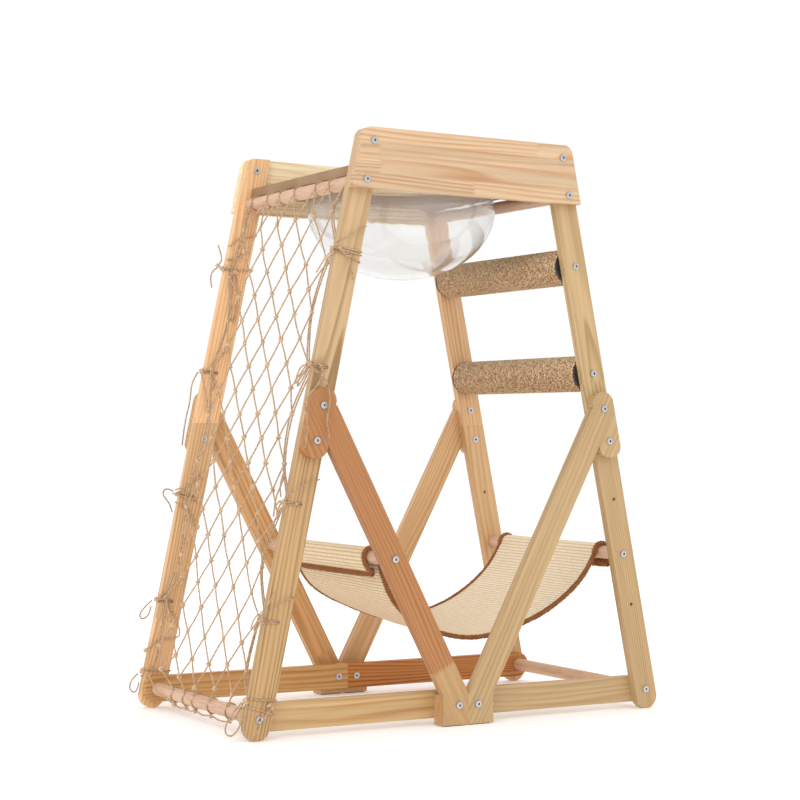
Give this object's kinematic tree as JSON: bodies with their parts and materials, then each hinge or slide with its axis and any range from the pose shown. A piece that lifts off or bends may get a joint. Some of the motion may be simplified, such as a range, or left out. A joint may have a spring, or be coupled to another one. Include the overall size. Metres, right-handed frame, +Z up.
{
  "type": "climbing frame",
  "caption": "Free-standing A-frame climber with a rope net slope, wound scratching posts, a woven hammock and a clear lift-out bowl under its top panel.",
  "frame": {"origin": "on the floor, under the middle of the frame", "axes": "+X along the frame from the net slope towards the post slope, +Y across it towards the far side frame, +Z up"},
  "size_m": [0.8589, 0.4838, 1.002],
  "materials": {
    "pine": "planed pine, thin matt varnish",
    "dowel_wood": "sanded beech, matt",
    "board": "plain fibre board, matt",
    "zinc_steel": "bright zinc plate",
    "brass_insert": "turned",
    "rubber_pad": "matt",
    "clear_acrylic": "clear, polished",
    "card_tube": "plain",
    "sisal": "twisted sisal rope, wound tight",
    "black_plastic": "moulded, matt",
    "straw_weave": "woven paper-straw rows",
    "hem_thread": "brown whipped hem",
    "twine": "thin twisted hemp twine"
  },
  "bodies": {
    "frame": {"near_top_plate": "pine", "near_right_upper_leg": "pine", "near_left_upper_leg": "pine", "near_right_lower_leg": "pine", "near_left_lower_leg": "pine", "near_right_brace": "pine", "near_left_brace": "pine", "near_right_rail": "pine", "near_left_rail": "pine", "near_bolts": "zinc_steel", "near_net_lashings": "twine", "far_top_plate": "pine", "far_right_upper_leg": "pine", "far_left_upper_leg": "pine", "far_right_lower_leg": "pine", "far_left_lower_leg": "pine", "far_right_brace": "pine", "far_left_brace": "pine", "far_right_rail": "pine", "far_left_rail": "pine", "far_bolts": "zinc_steel", "far_net_lashings": "twine", "foot_fillers": "pine", "foot_pads": "rubber_pad", "sleeve_nuts": "zinc_steel", "dowel_inserts": "brass_insert", "top_panel": "board", "panel_pegs": "dowel_wood", "net_dowel_top": "dowel_wood", "net_dowel_bottom": "dowel_wood", "panel_dowel_right": "dowel_wood", "base_dowel_right": "dowel_wood", "hammock_dowel_left": "dowel_wood", "hammock_dowel_right": "dowel_wood", "upper_post_tube": "card_tube", "upper_post_winding": "sisal", "upper_post_caps": "black_plastic", "lower_post_tube": "card_tube", "lower_post_winding": "sisal", "lower_post_caps": "black_plastic", "hammock_mat": "straw_weave", "hammock_bindings": "hem_thread", "rope_net": "twine", "near_tie_1_tail": "twine", "near_tie_1_end": "twine", "near_tie_2_tail_left": "twine", "near_tie_2_tail_right": "twine", "near_tie_3_tail": "twine", "near_tie_3_bow": "twine", "near_tie_4_tail": "twine", "near_tie_4_bow": "twine", "near_tie_5_tail": "twine", "near_tie_5_bow": "twine", "far_tie_1_tail": "twine", "far_tie_2_tail": "twine", "far_tie_3_bow": "twine", "far_tie_4_bow": "twine", "far_tie_5_bow": "twine"},
    "bowl": {"bowl": "clear_acrylic"}
  },
  "joints": [
    {"name": "bowl_lift", "type": "slide", "parent": "frame", "child": "bowl", "axis": [0, 0, 1], "range_m": [0, 0.19]}
  ]
}
